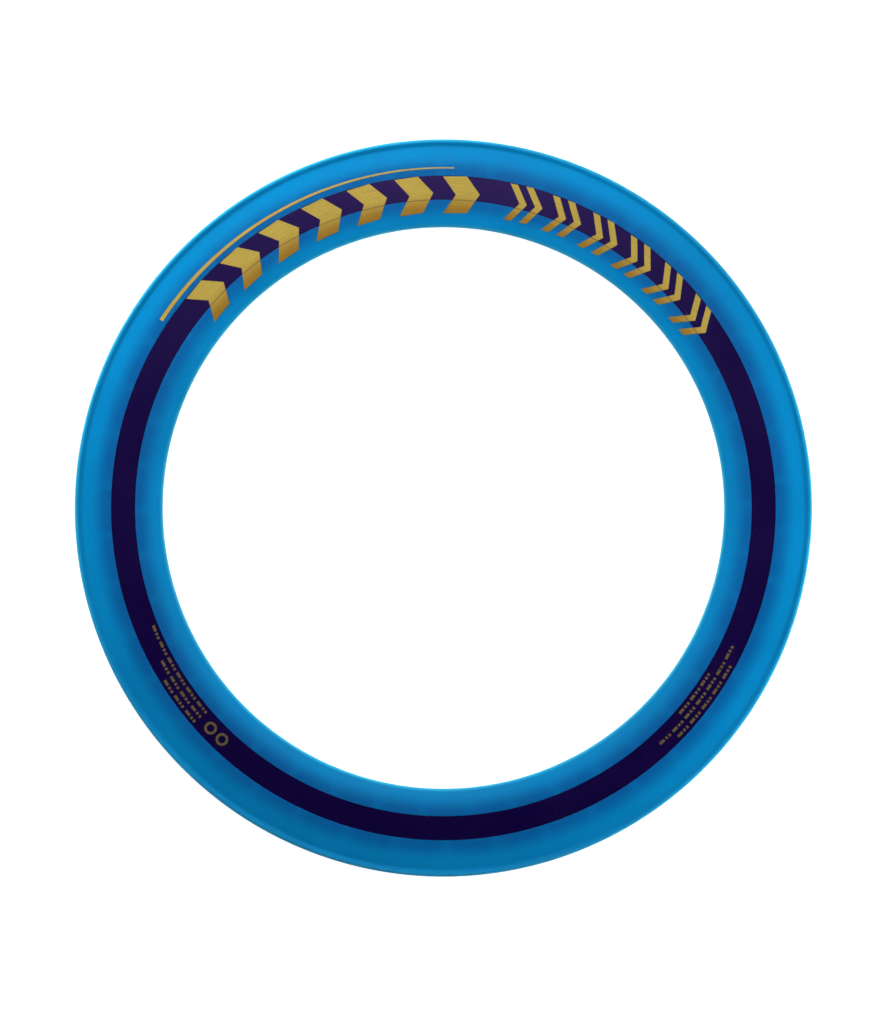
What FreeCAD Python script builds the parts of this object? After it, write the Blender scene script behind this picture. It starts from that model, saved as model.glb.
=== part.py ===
import FreeCAD, Part
import math
import os
import Sketcher

# Flying ring for catch games. A rigid core ring carries a soft rim on each side, moulded over the
# core's notched flanges, and gold foil is stamped on the top face. The ring lies flat: +Z is up, the
# origin is the ring's centre on the surface that it rests on, and +Y is the top of the foil print.

# name, size in millimetres (or degrees, or a count), what it is
SIZES = (
    ("ring_diameter", 254.0, "outside diameter of the ring"),
    ("ring_height", 3.2, "height over the flat band"),
    ("outer_rim_width", 12.6, "outer soft rim, from the band to the outer edge"),
    ("band_width", 8.3, "flat band of the core that shows between the rims"),
    ("inner_rim_width", 9.4, "inner soft rim, from the band to the hole"),
    ("outer_flange_reach", 5.2, "core flange under the outer rim"),
    ("inner_flange_reach", 5.0, "core flange under the inner rim"),
    ("flange_root_height", 1.7, "flange where it leaves the band"),
    ("flange_tip_height", 0.9, "flange at its free edge"),
    ("flange_tip_round", 0.25, "round on the flange's free edges"),
    ("notch_count", 42, "notches in each flange"),
    ("notch_phase", 4.7, "degrees from +X to the first outer notch"),
    ("notch_root_gap", 0.4, "plastic left between the band and a notch"),
    ("notch_root_width", 2.3, "notch beside the band"),
    ("notch_tip_width", 5.2, "notch at the flange's free edge"),
    ("notch_run_out", 1.0, "how far the notch tool passes the flange"),
    ("gate_count", 6, "gate recesses in the underside of the band"),
    ("gate_diameter", 3.0, "gate recess across"),
    ("gate_depth", 0.4, "gate recess depth"),
    ("land_margin", 1.2, "flat underside past each flange's free edge"),
    ("outer_fall", 0.85, "drop of the top from the band to the lip's foot"),
    ("inner_fall", 0.9, "drop of the top from the band to the hole"),
    ("outer_lift", 0.45, "rise of the underside at the outer edge"),
    ("inner_lift", 0.4, "rise of the underside at the hole"),
    ("lip_width", 2.3, "spoiler lip, from its foot to the outer edge"),
    ("lip_height", 0.4, "spoiler lip above its foot"),
    ("lip_slope", 1.0, "run of the lip's inner face"),
    ("lip_foot_round", 0.5, "hollow at the lip's foot"),
    ("lip_crest_round", 0.4, "round on the lip's inner top edge"),
    ("outer_edge_round", 0.8, "rounds on the outer edge"),
    ("hole_edge_round", 0.85, "rounds on the edge of the hole"),
    ("foil_thickness", 0.06, "stamped foil"),
    ("mark_overhang", 4.6, "large marks, from the band over the inner rim"),
    ("mark_margin", 0.3, "band left clear outside the large marks"),
    ("mark_reach", 4.4, "lead of a chevron's point over its ends"),
    ("mark_centre", 80.9, "degrees from +X to the gap between the large groups"),
    ("mark_gap", 5.0, "half of the gap between the large groups"),
    ("bold_count", 7, "bold chevrons"),
    ("bold_pitch", 16.3, "bold chevrons, along the middle of the band"),
    ("bold_stroke", 8.2, "bold chevron, along the ring"),
    ("line_count", 6, "pairs of thin chevrons"),
    ("line_pitch", 14.6, "pairs of thin chevrons, along the middle of the band"),
    ("line_stroke", 2.6, "thin chevron, along the ring"),
    ("line_gap", 2.9, "gap within a pair of thin chevrons"),
    ("stripe_gap", 2.9, "pinstripe's outer edge, from the band"),
    ("stripe_start_width", 1.3, "pinstripe at its wide end"),
    ("stripe_end_width", 0.4, "pinstripe at its narrow end"),
    ("stripe_length", 112.0, "pinstripe, along the middle of the band"),
    ("stripe_inset", 9.0, "pinstripe's narrow end, from the end of the bold group"),
    ("fine_height", 1.0, "fine mark, across the band"),
    ("fine_row_pitch", 2.5, "rows of fine marks, across the band"),
    ("fine_dash", 2.2, "long fine mark"),
    ("fine_dot", 0.9, "short fine mark"),
    ("fine_space", 0.55, "gap between fine marks"),
    ("left_fine_end", 220.8, "degrees from +X to the end that the left fine marks share"),
    ("right_fine_centre", 323.5, "degrees from +X to the middle of the right fine marks"),
    ("eyelet_diameter", 4.4, "plain printed circle beside the left fine marks"),
    ("eyelet_line", 0.9, "line of a printed circle"),
    ("eyelet_pitch", 5.5, "printed circles, along the middle of the band"),
    ("eyelet_gap", 5.0, "first printed circle, from the end of the left fine marks"),
)

# groups of fine marks in each row, from the outermost row inwards
LEFT_ROWS = (3, 4, 6)
RIGHT_ROWS = (5, 7, 3)

# Radii and heights in the ring's section, as expressions over the sheet.
EDGE = "Sizes.ring_diameter / 2"
BAND_OUT = f"{EDGE} - Sizes.outer_rim_width"
BAND_IN = f"{BAND_OUT} - Sizes.band_width"
BAND_MID = f"{BAND_OUT} - Sizes.band_width / 2"
HOLE = f"{BAND_IN} - Sizes.inner_rim_width"
OUT_TIP = f"{BAND_OUT} + Sizes.outer_flange_reach"
IN_TIP = f"{BAND_IN} - Sizes.inner_flange_reach"
LIP_FOOT = f"{EDGE} - Sizes.lip_width"
TOP = "Sizes.ring_height"
FOOT_TOP = f"{TOP} - Sizes.outer_fall"
LIP_TOP = f"{FOOT_TOP} + Sizes.lip_height"
HOLE_TOP = f"{TOP} - Sizes.inner_fall"

doc = FreeCAD.newDocument("flying_ring")


def make_sheet():
    """Put the driving sizes in a spreadsheet, one row each, with the name as the alias."""
    sheet = doc.addObject("Spreadsheet::Sheet", "Sizes")
    for row, (name, value, note) in enumerate(SIZES, start=1):
        sheet.set(f"A{row}", name)
        sheet.set(f"B{row}", str(value))
        sheet.set(f"C{row}", note)
        sheet.setAlias(f"B{row}", name)
    doc.recompute()
    return sheet


sheet = make_sheet()


def number(expression):
    """The value that an expression over the sheet has now."""
    return float(sheet.evalExpression(expression))


def make_body(label):
    body = doc.addObject("PartDesign::Body", label)
    body.Label = label
    return body


def role(body, name):
    """The body's own origin plane or axis with this role."""
    return next(item for item in body.Origin.OriginFeatures if item.Role == name)


def make_sketch(body, name, plane, turn=None):
    """A sketch on one of the body's origin planes, turned about its normal by an expression."""
    sketch = body.newObject("Sketcher::SketchObject", name)
    sketch.AttachmentSupport = [(role(body, plane), "")]
    sketch.MapMode = "FlatFace"
    if turn:
        upright = FreeCAD.Rotation(FreeCAD.Vector(0, 0, 1), 1)
        sketch.AttachmentOffset = FreeCAD.Placement(FreeCAD.Vector(), upright)
        sketch.setExpression("AttachmentOffset.Rotation.Angle", turn)
    return sketch


def level_arc(level, other):
    """An arc between two points that is level at the first, which is the higher one."""
    across = other.x - level.x
    drop = level.y - other.y
    radius = (across**2 + drop**2) / (2 * drop)
    centre = FreeCAD.Vector(level.x, level.y - radius, 0)
    slant = math.atan2(other.y - centre.y, other.x - centre.x)
    circle = Part.Circle(centre, FreeCAD.Vector(0, 0, 1), radius)
    ends = sorted((slant, math.pi / 2))
    return Part.ArcOfCircle(circle, *ends), slant > math.pi / 2


def pin(sketch, item, name, across, up):
    """Hold a point of the sketch at a place given by two expressions."""
    for kind, axis, text in (("DistanceX", -2, across), ("DistanceY", -1, up)):
        if text == "0":
            sketch.addConstraint(Sketcher.Constraint("PointOnObject", *item, axis))
            continue
        index = sketch.addConstraint(Sketcher.Constraint(kind, -1, 1, *item, number(text)))
        sketch.renameConstraint(index, f"{name}_{kind}")
        sketch.setExpression(f"Constraints.{name}_{kind}", text)


def size_by(sketch, kind, edge, name, size):
    """Hold a circle's or an arc's Radius or Diameter to an expression."""
    index = sketch.addConstraint(Sketcher.Constraint(kind, edge, number(size)))
    sketch.renameConstraint(index, name)
    sketch.setExpression(f"Constraints.{name}", size)


def close_outline(sketch, name, corners):
    """Close a loop through corners, each (across, up, edge to the next corner): a line, an arc that
    starts level ("fall") or an arc that ends level ("rise")."""
    points = [FreeCAD.Vector(number(across), number(up), 0) for across, up, _ in corners]
    starts = []
    ends = []
    for here, there, corner in zip(points, points[1:] + points[:1], corners):
        if corner[2] == "line":
            edge = sketch.addGeometry(Part.LineSegment(here, there), False)
            starts.append((edge, 1))
            ends.append((edge, 2))
            continue
        falls = corner[2] == "fall"
        arc, level_first = level_arc(here, there) if falls else level_arc(there, here)
        edge = sketch.addGeometry(arc, False)
        level = (edge, 1 if level_first else 2)
        other = (edge, 2 if level_first else 1)
        starts.append(level if falls else other)
        ends.append(other if falls else level)
        sketch.addConstraint(Sketcher.Constraint("Vertical", edge, 3, *level))
    for index, (across, up, _) in enumerate(corners):
        sketch.addConstraint(Sketcher.Constraint("Coincident", *ends[index - 1], *starts[index]))
        pin(sketch, starts[index], f"{name}{index}", across, up)


def revolve(body, sketch, name):
    """Turn a section right round the Z axis."""
    turned = body.newObject("PartDesign::Revolution", name)
    turned.Profile = sketch
    turned.ReferenceAxis = (sketch, ["V_Axis"])
    turned.Angle = 360
    doc.recompute()
    return turned


def round_edges(body, base, name, places, size):
    """Fillet the circular edges of a turned feature at these (radius, height) places."""
    wanted = [(number(radius), number(height)) for radius, height in places]
    names = []
    for index, edge in enumerate(base.Shape.Edges, start=1):
        if edge.Curve.TypeId != "Part::GeomCircle":
            continue
        place = (edge.Curve.Radius, edge.Curve.Center.z)
        if any(math.dist(place, spot) < 1e-4 for spot in wanted):
            names.append(f"Edge{index}")
    if len(names) != len(places):
        raise ValueError(f"{name}: found {len(names)} of {len(places)} edges")
    fillet = body.newObject("PartDesign::Fillet", name)
    fillet.Base = (base, names)
    fillet.setExpression("Radius", size)
    doc.recompute()
    return fillet


def repeat_round(body, feature, name, count, angle=None):
    """Repeat a feature about the Z axis: right round, or over the angle of an expression."""
    pattern = body.newObject("PartDesign::PolarPattern", name)
    pattern.Originals = [feature]
    pattern.Refine = False
    pattern.Axis = (role(body, "Z_Axis"), [""])
    pattern.setExpression("Occurrences", count)
    if angle:
        pattern.setExpression("Angle", angle)
    body.Tip = pattern
    doc.recompute()
    return pattern


def cut_through(body, sketch, name, depth=None):
    """Cut a sketch on the XY plane upwards, right through or to a depth."""
    before = body.Shape.Volume
    pocket = body.newObject("PartDesign::Pocket", name)
    pocket.Profile = sketch
    pocket.Refine = False
    pocket.Reversed = True
    if depth:
        pocket.setExpression("Length", depth)
    else:
        pocket.Type = "ThroughAll"
    doc.recompute()
    if body.Shape.Volume >= before:
        raise ValueError(f"{name} cuts nothing")
    return pocket


def make_core_ring():
    """The rigid ring: a flat band, full height, with a thin notched flange on each side."""
    body = make_body("core_ring")
    middle = "Sizes.ring_height / 2"
    root_low = f"{middle} - Sizes.flange_root_height / 2"
    root_high = f"{middle} + Sizes.flange_root_height / 2"
    tip_low = f"{middle} - Sizes.flange_tip_height / 2"
    tip_high = f"{middle} + Sizes.flange_tip_height / 2"
    corners = [
        (IN_TIP, tip_low),
        (BAND_IN, root_low),
        (BAND_IN, "0"),
        (BAND_OUT, "0"),
        (BAND_OUT, root_low),
        (OUT_TIP, tip_low),
        (OUT_TIP, tip_high),
        (BAND_OUT, root_high),
        (BAND_OUT, TOP),
        (BAND_IN, TOP),
        (BAND_IN, root_high),
        (IN_TIP, tip_high),
    ]
    section = make_sketch(body, "core_section", "XZ_Plane")
    close_outline(section, "corner", [(across, up, "line") for across, up in corners])
    turned = revolve(body, section, "core_turned")
    tips = [(IN_TIP, tip_low), (IN_TIP, tip_high), (OUT_TIP, tip_low), (OUT_TIP, tip_high)]
    round_edges(body, turned, "flange_tips", tips, "Sizes.flange_tip_round")
    cut_notches(body, "outer_notch", 1, BAND_OUT, OUT_TIP, "Sizes.notch_phase")
    half_step = "Sizes.notch_phase - 180 / Sizes.notch_count"
    cut_notches(body, "inner_notch", -1, BAND_IN, IN_TIP, half_step)
    gates = make_sketch(body, "gate_recess", "XY_Plane")
    place = FreeCAD.Vector(number(BAND_MID), 0, 0)
    circle = Part.Circle(place, FreeCAD.Vector(0, 0, 1), number("Sizes.gate_diameter / 2"))
    edge = gates.addGeometry(circle, False)
    pin(gates, (edge, 3), "gate", BAND_MID, "0")
    size_by(gates, "Diameter", edge, "gate_across", "Sizes.gate_diameter")
    recess = cut_through(body, gates, "gate_cut", "Sizes.gate_depth")
    repeat_round(body, recess, "gate_ring", "Sizes.gate_count")
    return body


def cut_notches(body, name, side, band_edge, tip, turn):
    """Cut the tapered notches that open one flange outwards (side 1) or inwards (side -1)."""
    sign = "+" if side > 0 else "-"
    root = f"{band_edge} {sign} Sizes.notch_root_gap"
    end = f"{tip} {sign} Sizes.notch_run_out"
    corners = [
        (root, "-Sizes.notch_root_width / 2", "line"),
        (end, "-Sizes.notch_tip_width / 2", "line"),
        (end, "Sizes.notch_tip_width / 2", "line"),
        (root, "Sizes.notch_root_width / 2", "line"),
    ]
    sketch = make_sketch(body, name, "XY_Plane", turn)
    close_outline(sketch, "corner", corners)
    notch = cut_through(body, sketch, f"{name}_cut")
    repeat_round(body, notch, f"{name}_ring", "Sizes.notch_count")


def cut_from(blank, tool, label):
    """What is left of a blank where another piece lies."""
    rest = doc.addObject("Part::Cut", label)
    rest.Label = label
    rest.Base = blank
    rest.Tool = tool
    rest.Refine = False
    return rest


def make_outer_rim(core):
    """The outer soft rim: a falling top, a raised spoiler lip and a rounded edge."""
    body = make_body("outer_rim_blank")
    land = f"{OUT_TIP} + Sizes.land_margin"
    crest = f"{LIP_FOOT} + Sizes.lip_slope"
    section = make_sketch(body, "outer_rim_section", "XZ_Plane")
    corners = [
        (BAND_OUT, "0", "line"),
        (land, "0", "line"),
        (EDGE, "Sizes.outer_lift", "line"),
        (EDGE, LIP_TOP, "line"),
        (crest, LIP_TOP, "line"),
        (LIP_FOOT, FOOT_TOP, "rise"),
        (BAND_OUT, TOP, "line"),
    ]
    close_outline(section, "corner", corners)
    feature = revolve(body, section, "outer_rim_turned")
    edges = [(EDGE, "Sizes.outer_lift"), (EDGE, LIP_TOP)]
    feature = round_edges(body, feature, "outer_edge", edges, "Sizes.outer_edge_round")
    feature = round_edges(body, feature, "lip_crest", [(crest, LIP_TOP)], "Sizes.lip_crest_round")
    round_edges(body, feature, "lip_foot", [(LIP_FOOT, FOOT_TOP)], "Sizes.lip_foot_round")
    return cut_from(body, core, "outer_rim")


def make_inner_rim(core):
    """The inner soft rim: a falling top and a rounded edge round the hole."""
    body = make_body("inner_rim_blank")
    land = f"{IN_TIP} - Sizes.land_margin"
    section = make_sketch(body, "inner_rim_section", "XZ_Plane")
    corners = [
        (BAND_IN, "0", "line"),
        (BAND_IN, TOP, "fall"),
        (HOLE, HOLE_TOP, "line"),
        (HOLE, "Sizes.inner_lift", "line"),
        (land, "0", "line"),
    ]
    close_outline(section, "corner", corners)
    feature = revolve(body, section, "inner_rim_turned")
    edges = [(HOLE, "Sizes.inner_lift"), (HOLE, HOLE_TOP)]
    round_edges(body, feature, "hole_edge", edges, "Sizes.hole_edge_round")
    return cut_from(body, core, "inner_rim")


def make_foil_sheet():
    """A whole sheet of foil on the top face, from the hole to the lip, which the stamps cut."""
    body = make_body("foil_sheet")
    section = make_sketch(body, "foil_section", "XZ_Plane")
    thick = "Sizes.foil_thickness"
    corners = [
        (HOLE, HOLE_TOP, "rise"),
        (BAND_IN, TOP, "line"),
        (BAND_OUT, TOP, "fall"),
        (LIP_FOOT, FOOT_TOP, "line"),
        (LIP_FOOT, f"{FOOT_TOP} + {thick}", "rise"),
        (BAND_OUT, f"{TOP} + {thick}", "line"),
        (BAND_IN, f"{TOP} + {thick}", "fall"),
        (HOLE, f"{HOLE_TOP} + {thick}", "line"),
    ]
    close_outline(section, "corner", corners)
    revolve(body, section, "foil_turned")
    return body


def along_band(length):
    """The angle in degrees of a length along the middle of the band, as an expression."""
    return f"({length}) / ({BAND_MID}) * 180 / pi"


def pad_stamp(body, sketch, name):
    """Raise a stamp from the XY plane to well past the top face."""
    pad = body.newObject("PartDesign::Pad", name)
    pad.Profile = sketch
    pad.setExpression("Length", "Sizes.ring_height * 2")
    doc.recompute()
    return pad


def keep_foil(stamp, foil, label):
    """The foil that a stamp leaves on the ring."""
    mark = doc.addObject("Part::Common", label)
    mark.Label = label
    mark.Base = stamp
    mark.Tool = foil
    return mark


def chevron(back, stroke):
    """Corners of a chevron that points clockwise round the ring, from its back edge forwards."""
    low = f"{BAND_IN} - Sizes.mark_overhang"
    high = f"{BAND_OUT} - Sizes.mark_margin"
    middle = f"({low} + {high}) / 2"
    front = f"{back} - {stroke}"
    return [
        (low, back, "line"),
        (low, front, "line"),
        (middle, f"{front} - Sizes.mark_reach", "line"),
        (high, front, "line"),
        (high, back, "line"),
        (middle, f"{back} - Sizes.mark_reach", "line"),
    ]


def make_chevrons(foil, label, turn, outlines, count, pitch):
    """A row of large foil marks that repeats one group of outlines along the band."""
    body = make_body(f"{label}_stamp")
    sketch = make_sketch(body, f"{label}_sketch", "XY_Plane", turn)
    for index, corners in enumerate(outlines):
        close_outline(sketch, f"mark{index}_", corners)
    pad = pad_stamp(body, sketch, f"{label}_pad")
    repeat_round(body, pad, f"{label}_row", count, along_band(f"({count} - 1) * {pitch}"))
    return keep_foil(body, foil, label)


def make_bold_chevrons(foil):
    """The bold group, from the gap at the top of the ring anticlockwise."""
    lead = "Sizes.mark_gap + Sizes.mark_reach + Sizes.bold_stroke"
    turn = f"Sizes.mark_centre + {along_band(lead)}"
    outlines = [chevron("0", "Sizes.bold_stroke")]
    return make_chevrons(
        foil, "foil_bold_chevrons", turn, outlines, "Sizes.bold_count", "Sizes.bold_pitch"
    )


def make_line_chevrons(foil):
    """The thin group, which ends at the gap at the top of the ring."""
    lead = "Sizes.mark_gap + (Sizes.line_count - 1) * Sizes.line_pitch"
    turn = f"Sizes.mark_centre - {along_band(lead)}"
    second = "0 - Sizes.line_stroke - Sizes.line_gap"
    outlines = [chevron("0", "Sizes.line_stroke"), chevron(second, "Sizes.line_stroke")]
    return make_chevrons(
        foil, "foil_line_chevrons", turn, outlines, "Sizes.line_count", "Sizes.line_pitch"
    )


def make_pinstripe(foil):
    """A thin stripe that narrows from left to right above the bold chevrons."""
    body = make_body("foil_pinstripe_stamp")
    lead = "Sizes.mark_gap + Sizes.stripe_inset"
    start = f"Sizes.mark_centre + {along_band(lead)}"
    finish = f"Sizes.mark_centre + {along_band(lead + ' + Sizes.stripe_length')}"
    outside = f"{BAND_OUT} + Sizes.stripe_gap"
    inside = f"{outside} - (Sizes.stripe_start_width + Sizes.stripe_end_width) / 2"
    narrow = f"({outside} - Sizes.stripe_end_width)"
    wide = f"({outside} - Sizes.stripe_start_width)"
    sketch = make_sketch(body, "foil_pinstripe_sketch", "XY_Plane")
    corners = [
        (f"({outside}) * cos({start})", f"({outside}) * sin({start})"),
        (f"({outside}) * cos({finish})", f"({outside}) * sin({finish})"),
        (f"{wide} * cos({finish})", f"{wide} * sin({finish})"),
        (f"{narrow} * cos({start})", f"{narrow} * sin({start})"),
    ]
    points = [FreeCAD.Vector(number(across), number(up), 0) for across, up in corners]
    angles = [math.radians(number(start)), math.radians(number(finish))]
    outer = Part.Circle(FreeCAD.Vector(), FreeCAD.Vector(0, 0, 1), number(outside))
    inner_middle = FreeCAD.Vector(math.cos(sum(angles) / 2), math.sin(sum(angles) / 2), 0)
    inner = Part.Arc(points[3], inner_middle * number(inside), points[2])
    long_edge = sketch.addGeometry(Part.ArcOfCircle(outer, *angles), False)
    wide_end = sketch.addGeometry(Part.LineSegment(points[1], points[2]), False)
    short_edge = sketch.addGeometry(inner, False)
    narrow_end = sketch.addGeometry(Part.LineSegment(points[3], points[0]), False)
    sketch.addConstraint(Sketcher.Constraint("Coincident", long_edge, 2, wide_end, 1))
    sketch.addConstraint(Sketcher.Constraint("Coincident", wide_end, 2, short_edge, 2))
    sketch.addConstraint(Sketcher.Constraint("Coincident", short_edge, 1, narrow_end, 1))
    sketch.addConstraint(Sketcher.Constraint("Coincident", narrow_end, 2, long_edge, 1))
    pin(sketch, (long_edge, 1), "narrow_out", *corners[0])
    pin(sketch, (wide_end, 1), "wide_out", *corners[1])
    pin(sketch, (wide_end, 2), "wide_in", *corners[2])
    pin(sketch, (narrow_end, 1), "narrow_in", *corners[3])
    size_by(sketch, "Radius", long_edge, "outside", outside)
    size_by(sketch, "Radius", short_edge, "inside", inside)
    pad_stamp(body, sketch, "foil_pinstripe_pad")
    return keep_foil(body, foil, "foil_pinstripe")


def add_flat_mark(body, sketch, name):
    """Foil that lies wholly on the flat band: a pad of the foil's own thickness on the top face."""
    sketch.AttachmentOffset = FreeCAD.Placement(
        FreeCAD.Vector(0, 0, number(TOP)), sketch.AttachmentOffset.Rotation
    )
    sketch.setExpression("AttachmentOffset.Base.z", TOP)
    pad = body.newObject("PartDesign::Pad", name)
    pad.Profile = sketch
    pad.setExpression("Length", "Sizes.foil_thickness")
    doc.recompute()
    return pad


def make_fine_marks(label, anchor, share, rows):
    """Rows of short printed dashes on the band, with so many groups each. The anchor angle falls at
    one share of every row's length: 0.5 centres the rows on it, 1 makes them all end there."""
    body = make_body(label)
    step = "(Sizes.fine_dash + Sizes.fine_dot * 2 + Sizes.fine_space * 4)"
    for row, groups in enumerate(rows):
        height = f"{1 - row} * Sizes.fine_row_pitch"
        low = f"{BAND_MID} + {height} - Sizes.fine_height / 2"
        high = f"{BAND_MID} + {height} + Sizes.fine_height / 2"
        span = f"{groups} * {step} - Sizes.fine_space * 2"
        turn = f"Sizes.{anchor} - {along_band(f'({span}) * {share}')}"
        sketch = make_sketch(body, f"{label}_row{row}", "XY_Plane", turn)
        start = "0"
        for mark, length in enumerate(("fine_dash", "fine_dot", "fine_dot")):
            finish = f"{start} + Sizes.{length}"
            corners = [
                (low, start, "line"),
                (high, start, "line"),
                (high, finish, "line"),
                (low, finish, "line"),
            ]
            close_outline(sketch, f"mark{mark}_", corners)
            start = f"{finish} + Sizes.fine_space"
        pad = add_flat_mark(body, sketch, f"{label}_pad{row}")
        sweep = along_band(f"{groups - 1} * {step}")
        repeat_round(body, pad, f"{label}_groups{row}", str(groups), sweep)
    return body


def make_eyelets():
    """Two plain printed circles on the band, just clear of the left fine marks."""
    body = make_body("foil_eyelets")
    turn = f"Sizes.left_fine_end + {along_band('Sizes.eyelet_gap')}"
    sketch = make_sketch(body, "eyelet_sketch", "XY_Plane", turn)
    centre = FreeCAD.Vector(number(BAND_MID), 0, 0)
    diameters = ("Sizes.eyelet_diameter", "Sizes.eyelet_diameter - Sizes.eyelet_line * 2")
    for name, diameter in zip(("outer", "inner"), diameters):
        circle = Part.Circle(centre, FreeCAD.Vector(0, 0, 1), number(diameter) / 2)
        edge = sketch.addGeometry(circle, False)
        pin(sketch, (edge, 3), name, BAND_MID, "0")
        size_by(sketch, "Diameter", edge, f"{name}_across", diameter)
    pad = add_flat_mark(body, sketch, "eyelet_pad")
    repeat_round(body, pad, "eyelet_pair", "2", along_band("Sizes.eyelet_pitch"))
    return body


def make_ring():
    """Every sub-part of the ring."""
    core = make_core_ring()
    foil = make_foil_sheet()
    return [
        core,
        make_outer_rim(core),
        make_inner_rim(core),
        make_bold_chevrons(foil),
        make_line_chevrons(foil),
        make_pinstripe(foil),
        make_fine_marks("foil_fine_marks_left", "left_fine_end", 1, LEFT_ROWS),
        make_fine_marks("foil_fine_marks_right", "right_fine_centre", 0.5, RIGHT_ROWS),
        make_eyelets(),
    ]


def check_model(pieces):
    """Stop if any object failed, or a sub-part isn't a valid closed shape."""
    for item in doc.Objects:
        if {"Invalid", "Error"} & set(item.State):
            raise ValueError(f"{item.Name} failed: {item.State}")
    for piece in pieces:
        shape = piece.Shape
        closed = all(solid.isClosed() for solid in shape.Solids)
        if shape.isNull() or not shape.isValid() or not shape.Solids or not closed:
            raise ValueError(f"{piece.Label} isn't a valid closed shape")


def write_pieces(pieces):
    """Write one STEP file per sub-part, named by its label."""
    os.makedirs("parts", exist_ok=True)
    for piece in pieces:
        piece.Shape.exportStep(f"parts/{piece.Label}.step")
        box = piece.Shape.optimalBoundingBox()
        print(f"{piece.Label}: {len(piece.Shape.Solids)} solids, {piece.Shape.Volume:.1f} mm3,"
              f" z {box.ZMin:.2f} to {box.ZMax:.2f}")


pieces = make_ring()
doc.recompute()
check_model(pieces)
write_pieces(pieces)
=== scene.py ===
import math

import bmesh
import bpy
from mathutils import Matrix, Vector


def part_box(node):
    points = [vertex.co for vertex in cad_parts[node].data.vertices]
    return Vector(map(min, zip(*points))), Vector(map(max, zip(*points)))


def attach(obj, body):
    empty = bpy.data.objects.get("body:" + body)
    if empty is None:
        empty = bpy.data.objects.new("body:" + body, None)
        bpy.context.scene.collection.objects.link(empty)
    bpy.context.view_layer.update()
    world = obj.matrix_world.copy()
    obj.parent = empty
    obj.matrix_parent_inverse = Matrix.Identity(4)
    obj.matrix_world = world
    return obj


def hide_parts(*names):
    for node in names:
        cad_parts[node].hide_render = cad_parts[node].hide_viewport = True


bl_info = {
    "name": "Flying Ring",
    "version": (1, 0, 0),
    "blender": (4, 5, 0),
    "location": "3D Viewport > Sidebar > Flying Ring",
    "description": "Finishes a soft-rimmed flying ring round its packed frame",
    "category": "Add Mesh",
}

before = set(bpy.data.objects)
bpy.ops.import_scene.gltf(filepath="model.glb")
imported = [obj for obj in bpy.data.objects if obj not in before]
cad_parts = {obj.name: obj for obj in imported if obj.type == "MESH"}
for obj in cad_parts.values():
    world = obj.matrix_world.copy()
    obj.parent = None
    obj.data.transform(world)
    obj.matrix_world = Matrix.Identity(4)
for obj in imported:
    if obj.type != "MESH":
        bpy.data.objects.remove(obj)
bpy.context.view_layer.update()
MM = 0.001


def reach(node):
    """The nearest and furthest distance of a CAD node from the ring's axis."""
    distances = [vertex.co.xy.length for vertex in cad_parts[node].data.vertices]
    return min(distances), max(distances)


# Radii of the ring's section, from the hole outwards, and the height of the flat band.
HOLE, BAND_IN = reach("inner_rim")
FLANGE_IN, FLANGE_OUT = reach("core_ring")
BAND_OUT, EDGE = reach("outer_rim")
BAND_MID = (BAND_IN + BAND_OUT) / 2
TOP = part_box("core_ring")[1].z
MIDDLE = TOP / 2

# Nearly all of a noise texture's values lie in this span.
MOTTLE_SPAN = (0.3, 0.7)

LARGE_FOIL = ("foil_bold_chevrons", "foil_line_chevrons", "foil_pinstripe")
FINE_FOIL = ("foil_fine_marks_left", "foil_fine_marks_right", "foil_eyelets")


def length(label, note, size):
    """A length property whose default is given in millimetres."""
    return bpy.props.FloatProperty(
        name=label, description=note, default=size * MM, min=0.0, unit="LENGTH", precision=5
    )


def colour(label, note, shade):
    """A colour property, in linear red, green and blue."""
    return bpy.props.FloatVectorProperty(
        name=label, description=note, default=shade, min=0.0, max=1.0, subtype="COLOR", size=3
    )


def share(label, note, value):
    """A property that runs from 0 to 1."""
    return bpy.props.FloatProperty(
        name=label, description=note, default=value, min=0.0, max=1.0, subtype="FACTOR"
    )


def power(label, note, watts):
    """A light's power."""
    return bpy.props.FloatProperty(
        name=label, description=note, default=watts, min=0.0, unit="POWER"
    )


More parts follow.
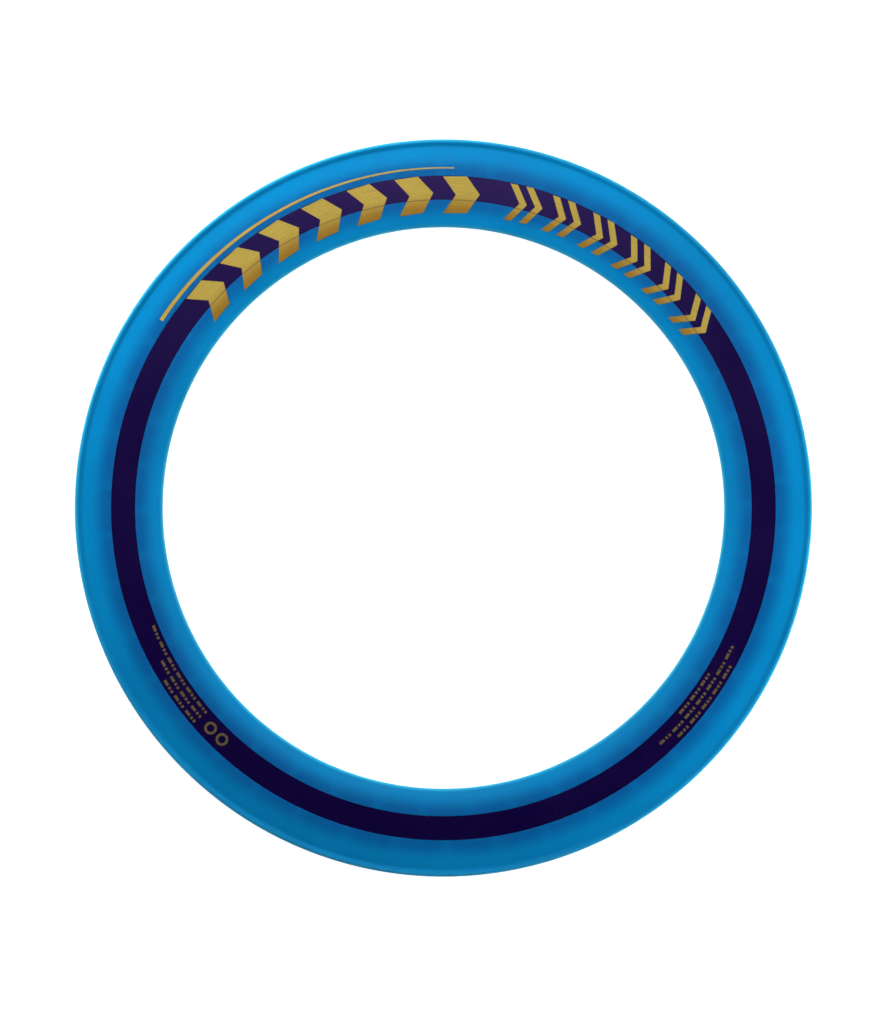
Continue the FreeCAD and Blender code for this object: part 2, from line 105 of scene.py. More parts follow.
class FlyingRingShape(bpy.types.PropertyGroup):
    """Sizes of the rims, the flanges and their notches."""

    notch_count: bpy.props.IntProperty(
        name="Notches", description="Notches in each flange of the core", default=42, min=3
    )
    notch_phase: bpy.props.FloatProperty(
        name="First notch",
        description="Angle from +X to the first notch of the outer flange",
        default=math.radians(4.7),
        unit="ROTATION",
    )
    notch_root: length("Notch root", "Width of a notch beside the band", 2.3)
    notch_tip: length("Notch mouth", "Width of a notch at the flange's free edge", 5.2)
    notch_gap: length("Notch gap", "Plastic left between the band and a notch", 0.4)
    flange_root: length("Flange root", "Height of a flange beside the band", 1.7)
    flange_tip: length("Flange tip", "Height of a flange at its free edge", 0.9)
    land: length("Land", "Flat underside past each flange's free edge", 1.2)
    outer_fall: length("Outer fall", "Drop of the top from the band to the lip's foot", 0.85)
    inner_fall: length("Inner fall", "Drop of the top from the band to the hole", 0.9)
    outer_lift: length("Outer lift", "Rise of the underside at the outer edge", 0.45)
    inner_lift: length("Inner lift", "Rise of the underside at the hole", 0.4)
    lip_width: length("Lip width", "Spoiler lip from its foot to the outer edge", 2.3)
    lip_height: length("Lip height", "Spoiler lip above its foot", 0.4)
    lip_slope: length("Lip slope", "Run of the lip's inner face", 1.0)
    edge_round: length("Edge round", "Rounds on the outer edge and the hole", 0.8)
    lip_round: length("Lip round", "Rounds at the lip's foot and crest", 0.45)
    witness: length("Witness line", "Broken edge where a rim meets the band", 0.07)
    flash: length("Parting line", "Height of the moulding line on the free edges", 0.04)
    gate_count: bpy.props.IntProperty(
        name="Gates", description="Gate recesses under the band", default=6, min=1
    )
    gate_width: length("Gate width", "Gate recess across", 3.0)
    gate_depth: length("Gate depth", "Gate recess depth", 0.4)


class FlyingRingFinish(bpy.types.PropertyGroup):
    """Colours and surface of the plastics and the foil."""

    rubber_clear: colour("Rubber", "Soft rim where nothing lies behind it", (0.001, 0.252, 0.560))
    rubber_shaded: colour("Rubber over core", "Soft rim over the core", (0.001, 0.128, 0.382))
    rubber_edge: colour("Rubber edge", "Soft rim at its thin free edge", (0.030, 0.350, 0.520))
    rubber_roughness: share("Rubber roughness", "Roughness of the soft rims", 0.40)
    # Painted shade: how much darker the rubber is painted over the lip's inner face and foot, where
    # shade falls in the crease.
    lip_painted_shade: share("Lip shade", "How much deeper the rubber's colour is along the lip", 0.13)
    notch_contrast: share("Notch contrast", "How plainly the notches show", 0.15)
    core_colour: colour("Core", "Rigid plastic of the core", (0.0036, 0.0004, 0.038))
    core_roughness: share("Core roughness", "Roughness of the core", 0.24)
    foil_bright: colour("Foil", "Gold foil over the band", (0.620, 0.450, 0.085))
    foil_deep: colour("Deep foil", "Gold foil over the inner rim", (0.420, 0.225, 0.022))
    foil_fine: colour("Fine foil", "Gold foil of the fine marks", (0.170, 0.122, 0.050))
    foil_roughness: share("Foil roughness", "Roughness of the foil", 0.50)


class FlyingRingStage(bpy.types.PropertyGroup):
    """Camera, lights and floor."""

    camera_height: bpy.props.FloatProperty(
        name="Camera height", description="Camera above the floor", default=1.8, unit="LENGTH"
    )
    ring_share: share("Ring in frame", "Ring's diameter as a share of the frame's width", 0.8292)
    shift_right: length("Camera right", "Camera to the right of the ring's centre", 0.55)
    shift_down: length("Camera down", "Camera below the ring's centre", 0.69)
    key_power: power("Far light", "Power of the low light beyond the ring", 6.1)
    left_power: power("Left light", "Power of the low light on the left", 1.25)
    right_power: power("Right light", "Power of the low light on the right", 4.9)
    overhead_power: power("Overhead light", "Power of the soft light high beyond the ring", 4.2)
    horizon: share("Horizon", "Brightness of the surround near the floor", 0.90)
    sky: share("Sky", "Brightness of the surround above the horizon", 0.09)
    ceiling: share("Ceiling", "Brightness of the surround overhead", 0.02)
    floor_glow: share("Floor glow", "Light that the floor gives of its own", 0.90)


def place(tree, kind, inputs=None, **settings):
    """Add a shader node. inputs maps its sockets to numbers, colours or other nodes' outputs."""
    node = tree.nodes.new(kind)
    for name, value in settings.items():
        setattr(node, name, value)
    for name, value in (inputs or {}).items():
        if isinstance(value, bpy.types.NodeSocket):
            tree.links.new(value, node.inputs[name])
        else:
            node.inputs[name].default_value = value
    return node


def compute(tree, operation, *values):
    """The result of one Math node."""
    return place(tree, "ShaderNodeMath", dict(enumerate(values)), operation=operation).outputs[0]


def scale_range(tree, value, low, high, start=0.0, finish=1.0, kind="SMOOTHSTEP"):
    """Carry a value from low..high to start..finish, clamped."""
    inputs = {"Value": value, "From Min": low, "From Max": high, "To Min": start, "To Max": finish}
    return place(tree, "ShaderNodeMapRange", inputs, interpolation_type=kind).outputs[0]


def vary(tree, mottle, level, below, above):
    """A level that wanders with the mottle, from some way below it to some way above."""
    return scale_range(tree, mottle, *MOTTLE_SPAN, level - below, level + above, "LINEAR")


def mix_colours(tree, part, first, second, blend="MIX"):
    """Blend two colours by a share; either may be a plain linear colour."""
    inputs = {0: part, 6: opaque(first), 7: opaque(second)}
    return place(tree, "ShaderNodeMix", inputs, data_type="RGBA", blend_type=blend).outputs[2]


def dim(tree, shade, level):
    """A colour made darker or brighter by a level."""
    grey = place(tree, "ShaderNodeCombineColor", {0: level, 1: level, 2: level}).outputs[0]
    return mix_colours(tree, 1.0, shade, grey, "MULTIPLY")


def opaque(shade):
    """A socket as it is, or a linear colour with its alpha added."""
    return shade if isinstance(shade, bpy.types.NodeSocket) else (*shade, 1.0)


def make_group(name, inputs, outputs):
    """A shader node group. inputs are (label, default); a default of None makes a vector socket."""
    group = bpy.data.node_groups.new(name, "ShaderNodeTree")
    for label, default in inputs:
        kind = "NodeSocketVector" if default is None else "NodeSocketFloat"
        socket = group.interface.new_socket(label, in_out="INPUT", socket_type=kind)
        if default is not None:
            socket.default_value = default
    for label in outputs:
        group.interface.new_socket(label, in_out="OUTPUT", socket_type="NodeSocketFloat")
    start = group.nodes.new("NodeGroupInput").outputs
    finish = group.nodes.new("NodeGroupOutput").inputs
    return group, start, finish


def use_group(tree, name, inputs):
    """The outputs of a shared node group placed in a material."""
    node = tree.nodes.new("ShaderNodeGroup")
    node.node_tree = bpy.data.node_groups[name]
    for label, value in inputs.items():
        if isinstance(value, bpy.types.NodeSocket):
            tree.links.new(value, node.inputs[label])
        else:
            node.inputs[label].default_value = value
    return node.outputs


def make_polar_group():
    """Radius from the ring's axis, and angle round it, of a point on the ring."""
    group, start, finish = make_group("Ring place", [("Vector", None)], ["Radius", "Angle"])
    split = place(group, "ShaderNodeSeparateXYZ", {0: start["Vector"]}).outputs
    squares = [compute(group, "MULTIPLY", split[axis], split[axis]) for axis in ("X", "Y")]
    radius = compute(group, "SQRT", compute(group, "ADD", *squares))
    angle = compute(group, "ARCTAN2", split["Y"], split["X"])
    group.links.new(radius, finish["Radius"])
    group.links.new(angle, finish["Angle"])


def make_flange_group():
    """How much of the dark flange shows through a rim: most beside the band, less in each notch."""
    inputs = [
        ("Radius", 0.0),
        ("Angle", 0.0),
        ("Band", BAND_OUT),
        ("Tip", FLANGE_OUT),
        ("Count", 42.0),
        ("Phase", 0.0),
        ("Root Width", 0.0),
        ("Tip Width", 0.0),
        ("Contrast", 0.0),
    ]
    group, start, finish = make_group("Flange shadow", inputs, ["Mask"])
    reach_out = compute(group, "SUBTRACT", start["Tip"], start["Band"])
    past_band = compute(group, "SUBTRACT", start["Radius"], start["Band"])
    along = compute(group, "DIVIDE", past_band, reach_out)
    turns = compute(group, "SUBTRACT", start["Angle"], start["Phase"])
    pitches = compute(group, "DIVIDE", compute(group, "MULTIPLY", turns, start["Count"]), math.tau)
    folded = compute(group, "SUBTRACT", pitches, compute(group, "ROUND", pitches))
    pitch = compute(group, "DIVIDE", math.tau, start["Count"])
    swing = compute(group, "MULTIPLY", compute(group, "ABSOLUTE", folded), pitch)
    aside = compute(group, "MULTIPLY", swing, start["Radius"])
    spread = compute(group, "SUBTRACT", start["Tip Width"], start["Root Width"])
    width = compute(group, "MULTIPLY_ADD", spread, along, start["Root Width"])
    past_side = compute(group, "SUBTRACT", aside, compute(group, "MULTIPLY", width, 0.5))
    blur = 0.9 * MM
    tooth = scale_range(group, past_side, -blur, blur)
    notch = compute(group, "SUBTRACT", 1.0, tooth)
    kept = compute(group, "SUBTRACT", 1.0, compute(group, "MULTIPLY", notch, start["Contrast"]))
    cover = scale_range(group, along, 0.3, 1.45, 1.0, 0.0)
    fade = scale_range(group, along, 0.0, 1.0, 1.0, 0.9, "LINEAR")
    mask = compute(group, "MULTIPLY", compute(group, "MULTIPLY", cover, fade), kept)
    group.links.new(mask, finish["Mask"])


def make_grain_group():
    """The fine grain of a moulded surface, and the slow mottle of the plastic under it."""
    group, start, finish = make_group(
        "Moulded grain", [("Vector", None), ("Grain Scale", 900.0), ("Mottle Scale", 28.0)],
        ["Grain", "Mottle"],
    )
    for label, scale, detail, roughness in (
        ("Grain", "Grain Scale", 3.0, 0.6),
        ("Mottle", "Mottle Scale", 4.0, 0.55),
    ):
        inputs = {
            "Vector": start["Vector"],
            "Scale": start[scale],
            "Detail": detail,
            "Roughness": roughness,
        }
        group.links.new(place(group, "ShaderNodeTexNoise", inputs).outputs[0], finish[label])


def make_scuff_group():
    """Fine hairlines in three directions, as play leaves them, thinned out in patches."""
    group, start, finish = make_group(
        "Hairlines", [("Vector", None), ("Scale", 60.0), ("Amount", 0.5)], ["Mask"]
    )
    total = 0.0
    narrowing = 0.02
    for turn, offset in ((0.4, 1.7), (1.6, 5.2), (2.5, 9.1)):
        lie = {
            "Vector": start["Vector"],
            "Rotation": (0.0, 0.0, turn),
            "Location": (offset, 0.0, 0.0),
            "Scale": (1.0, narrowing, 1.0),
        }
        spot = place(group, "ShaderNodeMapping", lie, vector_type="TEXTURE").outputs[0]
        streak = place(
            group, "ShaderNodeTexNoise", {"Vector": spot, "Scale": start["Scale"], "Detail": 1.0}
        ).outputs[0]
        total = compute(group, "ADD", total, scale_range(group, streak, 0.66, 0.74))
    patch = place(
        group, "ShaderNodeTexNoise", {"Vector": start["Vector"], "Scale": 18.0, "Detail": 2.0}
    ).outputs[0]
    thinned = compute(group, "MULTIPLY", total, scale_range(group, patch, 0.42, 0.66))
    mask = compute(group, "MULTIPLY", thinned, start["Amount"])
    group.links.new(compute(group, "MINIMUM", mask, 1.0), finish["Mask"])


def start_material(name):
    """A new material's node tree, its Principled shader's sockets and its Object coordinates."""
    material = bpy.data.materials.new(name)
    material.use_nodes = True
    tree = material.node_tree
    shader = tree.nodes["Principled BSDF"].inputs
    spot = place(tree, "ShaderNodeTexCoord").outputs["Object"]
    return material, tree, shader, spot


def add_bump(tree, shader, height, distance):
    """Feed a height to the shader's normal; a height of 1 stands for the distance."""
    bump = place(tree, "ShaderNodeBump", {"Distance": distance, "Height": height})
    tree.links.new(bump.outputs[0], shader["Normal"])


def make_rubber(name, band, tip, phase, free_edge, lip_painted_shade):
    """Soft translucent rubber: the flange shows faintly through it, its thin edge is paler, and
    shade is painted into its colour along the lip's inner face and foot.
    """
    shape = bpy.context.scene.flying_ring_shape
    finish = bpy.context.scene.flying_ring_finish
    material, tree, shader, spot = start_material(name)
    polar = use_group(tree, "Ring place", {"Vector": spot})
    shadow = use_group(
        tree,
        "Flange shadow",
        {
            "Radius": polar["Radius"],
            "Angle": polar["Angle"],
            "Band": band,
            "Tip": tip,
            "Count": float(shape.notch_count),
            "Phase": phase,
            "Root Width": shape.notch_root,
            "Tip Width": shape.notch_tip,
            "Contrast": finish.notch_contrast,
        },
    )["Mask"]
    grain = use_group(tree, "Moulded grain", {"Vector": spot})
    scuffs = use_group(tree, "Hairlines", {"Vector": spot, "Scale": 55.0, "Amount": 0.5})["Mask"]
    clear = mix_colours(tree, shadow, finish.rubber_clear[:], finish.rubber_shaded[:])
    from_edge = compute(tree, "ABSOLUTE", compute(tree, "SUBTRACT", polar["Radius"], free_edge))
    pale_depth, palest = 1.6 * MM, 0.85
    thin = scale_range(tree, from_edge, 0.0, pale_depth, palest, 0.0)
    edged = mix_colours(tree, thin, clear, finish.rubber_edge[:])
    # Painted shade: the rubber is painted darker over the lip's inner face and its foot, where
    # shade falls in the crease.
    past_crest = scale_range(tree, from_edge, 0.9 * MM, 1.5 * MM)
    before_foot = scale_range(tree, from_edge, 2.1 * MM, 2.9 * MM, 1.0, 0.0)
    lip = compute(tree, "MULTIPLY", past_crest, before_foot)
    mottle = scale_range(tree, grain["Mottle"], *MOTTLE_SPAN, 0.94, 1.06, "LINEAR")
    level = compute(tree, "MULTIPLY_ADD", lip, -lip_painted_shade, mottle)
    tree.links.new(dim(tree, edged, level), shader["Base Color"])
    rough = vary(tree, grain["Mottle"], finish.rubber_roughness, 0.05, 0.05)
    tree.links.new(compute(tree, "MULTIPLY_ADD", scuffs, 0.12, rough), shader["Roughness"])
    shader["IOR"].default_value = 1.42
    shader["Specular IOR Level"].default_value = 0.2
    shader["Subsurface Weight"].default_value = 0.6
    shader["Subsurface Radius"].default_value = (0.3, 0.8, 1.0)
    shader["Subsurface Scale"].default_value = 1.6 * MM
    relief = compute(tree, "MULTIPLY_ADD", scuffs, -0.5, grain["Grain"])
    add_bump(tree, shader, relief, 0.012 * MM)
    return material


def make_core_plastic():
    """Dark glossy plastic, with the fine rings of a turned mould and hairlines from play."""
    finish = bpy.context.scene.flying_ring_finish
    material, tree, shader, spot = start_material("core_plastic_gloss")
    polar = use_group(tree, "Ring place", {"Vector": spot})
    grain = use_group(tree, "Moulded grain", {"Vector": spot, "Grain Scale": 1400.0})
    scuffs = use_group(tree, "Hairlines", {"Vector": spot, "Scale": 48.0, "Amount": 0.5})["Mask"]
    worn = tuple(0.02 + 1.5 * part for part in finish.core_colour)
    wear = compute(tree, "MULTIPLY", scuffs, 0.15)
    tree.links.new(mix_colours(tree, wear, finish.core_colour[:], worn), shader["Base Color"])
    rough = vary(tree, grain["Mottle"], finish.core_roughness, 0.05, 0.07)
    tree.links.new(rough, shader["Roughness"])
    shader["IOR"].default_value = 1.5
    shader["Specular IOR Level"].default_value = 0.55
    shader["Specular Tint"].default_value = (0.50, 0.30, 1.0, 1.0)
    ring_pitch = 0.35 * MM
    rings = compute(tree, "SINE", compute(tree, "MULTIPLY", polar["Radius"], math.tau / ring_pitch))
    relief = compute(tree, "MULTIPLY_ADD", rings, 0.22, grain["Grain"])
    add_bump(tree, shader, relief, 0.0025 * MM)
    return material


def make_foil(name, bright, deep, wear):
    """Stamped gold foil: deeper over the rubber, broken at the band's edge, flecked with wear."""
    finish = bpy.context.scene.flying_ring_finish
    material, tree, shader, spot = start_material(name)
    polar = use_group(tree, "Ring place", {"Vector": spot})
    grain = use_group(tree, "Moulded grain", {"Vector": spot, "Grain Scale": 1100.0})
    over_band = scale_range(tree, polar["Radius"], BAND_IN - 4.2 * MM, BAND_IN + 3.2 * MM)
    lanes_per_metre, lanes_per_radian = 3200.0, 12.0
    across = compute(tree, "MULTIPLY", polar["Radius"], lanes_per_metre)
    along = compute(tree, "MULTIPLY", polar["Angle"], lanes_per_radian)
    lanes = place(tree, "ShaderNodeCombineXYZ", {0: across, 1: along}).outputs[0]
    brushed = place(
        tree, "ShaderNodeTexNoise", {"Vector": lanes, "Scale": 1.0, "Detail": 2.0}
    ).outputs[0]
    level = scale_range(tree, brushed, *MOTTLE_SPAN, 0.84, 1.06, "LINEAR")
    gold = dim(tree, mix_colours(tree, over_band, deep, bright), level)
    from_break = compute(tree, "ABSOLUTE", compute(tree, "SUBTRACT", polar["Radius"], BAND_IN))
    most_bare, metal = 0.6, 0.35
    crack = scale_range(tree, from_break, 0.06 * MM, 0.28 * MM, most_bare, 0.0)
    flecks = place(
        tree, "ShaderNodeTexNoise", {"Vector": spot, "Scale": 1500.0, "Detail": 2.0}
    ).outputs[0]
    fleck = scale_range(tree, flecks, 0.70 - 0.12 * wear, 0.76 - 0.12 * wear)
    bare = compute(tree, "MAXIMUM", crack, compute(tree, "MULTIPLY", fleck, most_bare))
    tree.links.new(mix_colours(tree, bare, gold, finish.core_colour[:]), shader["Base Color"])
    covered = compute(tree, "SUBTRACT", 1.0, bare)
    tree.links.new(compute(tree, "MULTIPLY", covered, metal), shader["Metallic"])
    rough = vary(tree, grain["Mottle"], finish.foil_roughness, 0.06, 0.08)
    tree.links.new(rough, shader["Roughness"])
    add_bump(tree, shader, grain["Grain"], 0.02 * MM)
    return material


def draw_section(bm, corners):
    """A closed loop of edges in the XZ plane through (radius, height) corners."""
    verts = [bm.verts.new((radius, 0.0, height)) for radius, height in corners]
    for pair in zip(verts, verts[1:] + verts[:1]):
        bm.edges.new(pair)


def bowed(start, finish, fall, points=10):
    """Points between a level start on the band's edge and a finish that lies lower by the fall."""
    shares = [(index + 1) / (points + 1) for index in range(points)]
    return [(start + (finish - start) * part, TOP - fall * part**2) for part in shares]


def flash_line(low, high, proud):
    """A fine moulding line half-way between a free edge's low and high corners."""
    radius, middle, gap = low[0], (low[1] + high[1]) / 2, 0.12 * MM
    return [(radius, middle - gap), (radius + proud, middle), (radius, middle + gap)]


def round_corners(bm, spots, size, steps=4):
    """Round the section's corners at these (radius, height) spots."""
    corners = [
        vert
        for vert in bm.verts
        if any(math.dist((vert.co.x, vert.co.z), spot) < 0.001 * MM for spot in spots)
    ]
    bmesh.ops.bevel(
        bm, geom=corners, offset=size, offset_type="OFFSET", segments=steps, profile=0.5,
        affect="VERTICES", material=-1,
    )


def notch_stations():
    """Angles in one notch pitch at which the section is drawn, from the first outer notch's middle:
    the mouth and root of the outer notch, then those of the inner one, half a pitch on."""
    shape = bpy.context.scene.flying_ring_shape
    half_pitch = math.pi / shape.notch_count
    out_root = shape.notch_root / 2 / (BAND_OUT + shape.notch_gap)
    out_mouth = shape.notch_tip / 2 / FLANGE_OUT
    in_root = shape.notch_root / 2 / (BAND_IN - shape.notch_gap)
    in_mouth = shape.notch_tip / 2 / FLANGE_IN
    outer = [-out_mouth, -out_root, out_root, out_mouth]
    inner = [half_pitch + turn for turn in (-in_mouth, -in_root, in_root, in_mouth)]
    return outer + inner


def spin_section(bm):
    """Spin the section right round, then draw in each flange's tip where a notch lies."""
    shape = bpy.context.scene.flying_ring_shape
    stations = notch_stations()
    steps = shape.notch_count * len(stations)
    bmesh.ops.spin(
        bm, geom=bm.verts[:] + bm.edges[:], cent=(0, 0, 0), axis=(0, 0, 1), dvec=(0, 0, 0),
        angle=math.tau, steps=steps, use_merge=True, use_duplicate=False,
    )
    bmesh.ops.remove_doubles(bm, verts=bm.verts, dist=0.001 * MM)
    pitch = math.tau / shape.notch_count
    half_root = shape.flange_root / 2
    steepen = shape.flange_root / shape.flange_tip
    for vert in bm.verts:
        radius = vert.co.xy.length
        step = round(math.atan2(vert.co.y, vert.co.x) * steps / math.tau) % steps
        whole, station = divmod(step, len(stations))
        in_flange = abs(vert.co.z - MIDDLE) < half_root - 0.01 * MM
        past_out = in_flange and BAND_OUT + 0.1 * MM < radius < FLANGE_OUT + 0.1 * MM
        past_in = in_flange and FLANGE_IN - 0.1 * MM < radius < BAND_IN - 0.1 * MM
        if (past_out and station in (1, 2)) or (past_in and station in (5, 6)):
            radius = BAND_OUT + shape.notch_gap if past_out else BAND_IN - shape.notch_gap
            vert.co.z = MIDDLE + (vert.co.z - MIDDLE) * steepen
        turn = shape.notch_phase + whole * pitch + stations[station]
        vert.co.xy = Vector((radius * math.cos(turn), radius * math.sin(turn)))


def finish_piece(name, bm, material, nodes):
    """Turn a bmesh into a smooth-shaded piece that stands for CAD nodes and rides on the ring."""
    bmesh.ops.recalc_face_normals(bm, faces=bm.faces)
    mesh = bpy.data.meshes.new(name)
    bm.to_mesh(mesh)
    bm.free()
    mesh.shade_smooth()
    mesh.set_sharp_from_angle(angle=math.radians(50))
    mesh.materials.append(material)
    piece = bpy.data.objects.new(name, mesh)
    bpy.context.scene.collection.objects.link(piece)
    weighted = piece.modifiers.new("even_shading", "WEIGHTED_NORMAL")
    weighted.keep_sharp = True
    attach(piece, "root")
    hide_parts(*nodes)
    return piece


def flange_corners(band, tip):
    """A flange's four corners: low root, low tip, high tip, high root."""
    shape = bpy.context.scene.flying_ring_shape
    root, end = shape.flange_root / 2, shape.flange_tip / 2
    return [(band, MIDDLE - root), (tip, MIDDLE - end), (tip, MIDDLE + end), (band, MIDDLE + root)]


class MESH_OT_flying_ring_core(bpy.types.Operator):
    """Make the rigid core: a flat band with a thin notched flange on each side"""

    bl_idname = "mesh.flying_ring_core"
    bl_label = "Core ring"

    def execute(self, context):
        shape = context.scene.flying_ring_shape
        bm = bmesh.new()
        inner = flange_corners(BAND_IN, FLANGE_IN)
        outer = flange_corners(BAND_OUT, FLANGE_OUT)
        low = [(BAND_IN, 0.0), (BAND_OUT, 0.0)]
        high = [(BAND_OUT, TOP), (BAND_IN, TOP)]
        draw_section(bm, low + outer + high + inner[::-1])
        round_corners(bm, low + high, shape.witness, 2)
        spin_section(bm)
        sink_gates(bm)
        finish_piece("core_band", bm, make_core_plastic(), ["core_ring"])
        return {"FINISHED"}


def add_round_gates(bm, low, high, bottom, top):
    """A round peg at each gate, between two heights, with a radius at the bottom and the top."""
    count = bpy.context.scene.flying_ring_shape.gate_count
    for index in range(count):
        turn = Matrix.Rotation(math.tau * index / count, 4, "Z")
        bmesh.ops.create_cone(
            bm, cap_ends=True, segments=32, radius1=bottom, radius2=top, depth=high - low,
            matrix=turn @ Matrix.Translation((BAND_MID, 0, (low + high) / 2)),
        )


def sink_gates(bm):
    """Sink the gate recesses into the band's underside, and leave a sprue stub in each."""
    shape = bpy.context.scene.flying_ring_shape
    tool = bmesh.new()
    across = shape.gate_width / 2
    add_round_gates(tool, -shape.gate_depth, shape.gate_depth, across + 0.1 * MM, across)
    band, pegs = [hold(name, source) for name, source in (("uncut_band", bm), ("gate_tool", tool))]
    tool.free()
    cut = band.modifiers.new("gates", "BOOLEAN")
    cut.object = pegs
    graph = bpy.context.evaluated_depsgraph_get()
    carved = bpy.data.meshes.new_from_object(band.evaluated_get(graph), depsgraph=graph)
    bm.clear()
    bm.from_mesh(carved)
    for spare in (band.data, pegs.data, carved):
        bpy.data.meshes.remove(spare)
    add_round_gates(bm, 0.1 * MM, shape.gate_depth * 1.1, 0.4 * MM, 0.6 * MM)


def hold(name, bm):
    """A passing object that holds a bmesh's shape."""
    bmesh.ops.recalc_face_normals(bm, faces=bm.faces)
    mesh = bpy.data.meshes.new(name)
    bm.to_mesh(mesh)
    holder = bpy.data.objects.new(name, mesh)
    bpy.context.scene.collection.objects.link(holder)
    return holder


class MESH_OT_flying_ring_rims(bpy.types.Operator):
    """Make the two soft rims, each moulded round one flange of the core"""

    bl_idname = "mesh.flying_ring_rims"
    bl_label = "Soft rims"

    def execute(self, context):
        self.make_outer(context.scene.flying_ring_shape)
        self.make_inner(context.scene.flying_ring_shape)
        return {"FINISHED"}

    def make_outer(self, shape):
        foot = (EDGE - shape.lip_width, TOP - shape.outer_fall)
        crest = (foot[0] + shape.lip_slope, foot[1] + shape.lip_height)
        low_edge, high_edge = (EDGE, shape.outer_lift), (EDGE, crest[1])
        low_band, high_band = (BAND_OUT, 0.0), (BAND_OUT, TOP)
        outline = [low_band, (FLANGE_OUT + shape.land, 0.0), low_edge]
        outline += flash_line(low_edge, high_edge, shape.flash) + [high_edge, crest, foot]
        outline += bowed(BAND_OUT, foot[0], shape.outer_fall)[::-1] + [high_band]
        bm = bmesh.new()
        draw_section(bm, outline + flange_corners(BAND_OUT, FLANGE_OUT)[::-1])
        round_corners(bm, [low_edge, high_edge], shape.edge_round)
        round_corners(bm, [crest, foot], shape.lip_round)
        round_corners(bm, [low_band, high_band], shape.witness, 2)
        spin_section(bm)
        # The outer rim gets painted shade along its lip; the inner rim, below, gets none.
        lip_painted_shade = bpy.context.scene.flying_ring_finish.lip_painted_shade
        rubber = make_rubber(
            "soft_rim_outer", BAND_OUT, FLANGE_OUT, shape.notch_phase, EDGE, lip_painted_shade
        )
        finish_piece("outer_soft_rim", bm, rubber, ["outer_rim"])

    def make_inner(self, shape):
        low_edge, high_edge = (HOLE, shape.inner_lift), (HOLE, TOP - shape.inner_fall)
        low_band, high_band = (BAND_IN, 0.0), (BAND_IN, TOP)
        outline = [high_band, *bowed(BAND_IN, HOLE, shape.inner_fall), high_edge]
        outline += flash_line(low_edge, high_edge, -shape.flash)[::-1]
        outline += [low_edge, (FLANGE_IN - shape.land, 0.0), low_band]
        bm = bmesh.new()
        draw_section(bm, outline + flange_corners(BAND_IN, FLANGE_IN))
        round_corners(bm, [low_edge, high_edge], shape.edge_round)
        round_corners(bm, [low_band, high_band], shape.witness, 2)
        spin_section(bm)
        phase = shape.notch_phase - math.pi / shape.notch_count
        rubber = make_rubber("soft_rim_inner", BAND_IN, FLANGE_IN, phase, HOLE, 0.0)
        finish_piece("inner_soft_rim", bm, rubber, ["inner_rim"])


class MESH_OT_flying_ring_foil(bpy.types.Operator):
    """Give the stamped foil marks their gold"""

    bl_idname = "mesh.flying_ring_foil"
    bl_label = "Gold foil"

    def execute(self, context):
        finish = context.scene.flying_ring_finish
        large = make_foil("gold_foil_large", finish.foil_bright[:], finish.foil_deep[:], 0.2)
        fine = make_foil("gold_foil_fine", finish.foil_fine[:], finish.foil_fine[:], 0.8)
        for names, foil in ((LARGE_FOIL, large), (FINE_FOIL, fine)):
            for name in names:
                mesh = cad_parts[name].data
                mesh.materials.clear()
                mesh.materials.append(foil)
        return {"FINISHED"}


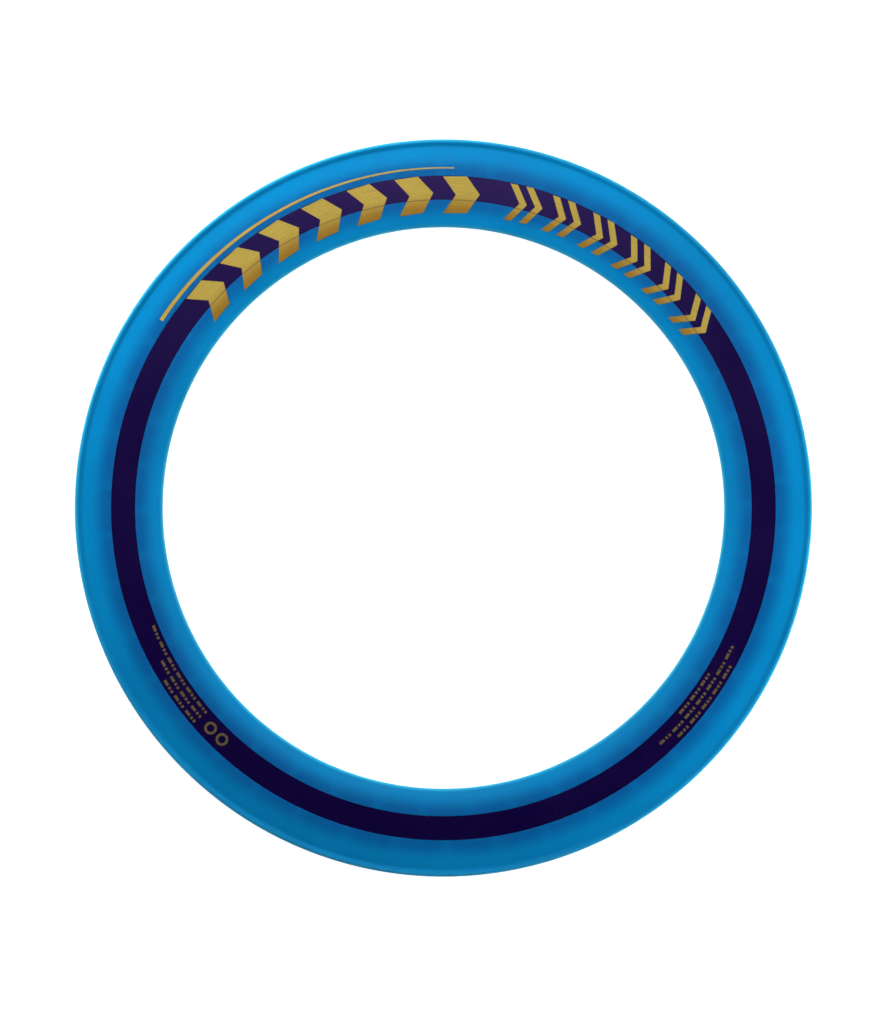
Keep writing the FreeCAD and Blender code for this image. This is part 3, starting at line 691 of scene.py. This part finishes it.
class SCENE_OT_flying_ring_stage(bpy.types.Operator):
    """Lay the floor, hang the lights and set the camera over the ring"""

    bl_idname = "scene.flying_ring_stage"
    bl_label = "Stage"

    def execute(self, context):
        stage = context.scene.flying_ring_stage
        self.lay_floor(stage)
        self.light_surround(context.scene, stage)
        low_size, high_size = 0.4, 0.5
        self.hang_light("far_light", (-0.289, 0.509, 0.165), low_size, stage.key_power)
        self.hang_light("left_light", (-0.589, 0.138, 0.182), low_size, stage.left_power)
        self.hang_light("right_light", (0.539, -0.11, 0.12), low_size, stage.right_power)
        self.hang_light("overhead", (0.0, 0.6, 2.4), high_size, stage.overhead_power, True)
        self.set_camera(context.scene, stage)
        context.scene.view_settings.view_transform = "Standard"
        return {"FINISHED"}

    def lay_floor(self, stage):
        bm = bmesh.new()
        bmesh.ops.create_grid(bm, x_segments=1, y_segments=1, size=6.0)
        mesh = bpy.data.meshes.new("floor")
        bm.to_mesh(mesh)
        bm.free()
        material, _, shader, _ = start_material("floor_white")
        shader["Base Color"].default_value = (0.4, 0.4, 0.4, 1.0)
        shader["Emission Color"].default_value = (1.0, 1.0, 1.0, 1.0)
        shader["Emission Strength"].default_value = stage.floor_glow
        shader["Roughness"].default_value = 0.9
        shader["Specular IOR Level"].default_value = 0.1
        mesh.materials.append(material)
        floor = bpy.data.objects.new("floor", mesh)
        floor.location.z = -0.02 * MM
        bpy.context.scene.collection.objects.link(floor)

    def light_surround(self, scene, stage):
        """A surround that is pale towards the floor and dim overhead, so that gloss stays clean."""
        world = bpy.data.worlds.new("studio")
        world.use_nodes = True
        tree = world.node_tree
        aim = place(tree, "ShaderNodeTexCoord").outputs["Generated"]
        up = place(tree, "ShaderNodeSeparateXYZ", {0: aim}).outputs["Z"]
        low = scale_range(tree, up, 0.02, 0.25, stage.horizon, stage.sky)
        level = compute(tree, "MINIMUM", low, scale_range(tree, up, 0.6, 0.9, 1.0, stage.ceiling))
        grey = place(tree, "ShaderNodeCombineColor", {0: level, 1: level, 2: level}).outputs[0]
        tree.links.new(grey, tree.nodes["Background"].inputs["Color"])
        scene.world = world

    def hang_light(self, name, spot, size, watts, gleams=False):
        """A square light aimed at the ring; it shows in glossy surfaces only if it gleams."""
        lamp = bpy.data.lights.new(name, "AREA")
        lamp.shape = "SQUARE"
        lamp.size = size
        lamp.energy = watts
        light = bpy.data.objects.new(name, lamp)
        light.location = spot
        light.rotation_euler = (-Vector(spot)).to_track_quat("-Z", "Y").to_euler()
        light.visible_camera = False
        light.visible_glossy = gleams
        bpy.context.scene.collection.objects.link(light)

    def set_camera(self, scene, stage):
        lens = bpy.data.cameras.new("camera")
        lens.sensor_fit = "HORIZONTAL"
        seen = 2 * EDGE / stage.ring_share
        lens.lens = lens.sensor_width * (stage.camera_height - TOP) / seen
        lens.clip_end = 20.0
        camera = bpy.data.objects.new("camera", lens)
        camera.location = (stage.shift_right, -stage.shift_down, stage.camera_height)
        scene.collection.objects.link(camera)
        scene.camera = camera


class VIEW3D_PT_flying_ring(bpy.types.Panel):
    """The ring's pieces, in the order in which they are made"""

    bl_label = "Flying Ring"
    bl_space_type = "VIEW_3D"
    bl_region_type = "UI"
    bl_category = "Flying Ring"

    def draw(self, context):
        for group in ("flying_ring_shape", "flying_ring_finish", "flying_ring_stage"):
            settings = getattr(context.scene, group)
            for name in settings.__annotations__:
                self.layout.prop(settings, name)
        for operator in OPERATORS:
            self.layout.operator(operator.bl_idname)


SETTINGS = {
    "flying_ring_shape": FlyingRingShape,
    "flying_ring_finish": FlyingRingFinish,
    "flying_ring_stage": FlyingRingStage,
}
OPERATORS = (
    MESH_OT_flying_ring_core,
    MESH_OT_flying_ring_rims,
    MESH_OT_flying_ring_foil,
    SCENE_OT_flying_ring_stage,
)


def register():
    for cls in (*SETTINGS.values(), *OPERATORS, VIEW3D_PT_flying_ring):
        bpy.utils.register_class(cls)
    for name, cls in SETTINGS.items():
        setattr(bpy.types.Scene, name, bpy.props.PointerProperty(type=cls))


def unregister():
    for name in SETTINGS:
        delattr(bpy.types.Scene, name)
    for cls in (VIEW3D_PT_flying_ring, *OPERATORS[::-1], *SETTINGS.values()):
        bpy.utils.unregister_class(cls)


def main():
    register()
    for build_group in (make_polar_group, make_flange_group, make_grain_group, make_scuff_group):
        build_group()
    bpy.ops.mesh.flying_ring_core()
    bpy.ops.mesh.flying_ring_rims()
    bpy.ops.mesh.flying_ring_foil()
    bpy.ops.scene.flying_ring_stage()


if __name__ == "__main__":
    main()
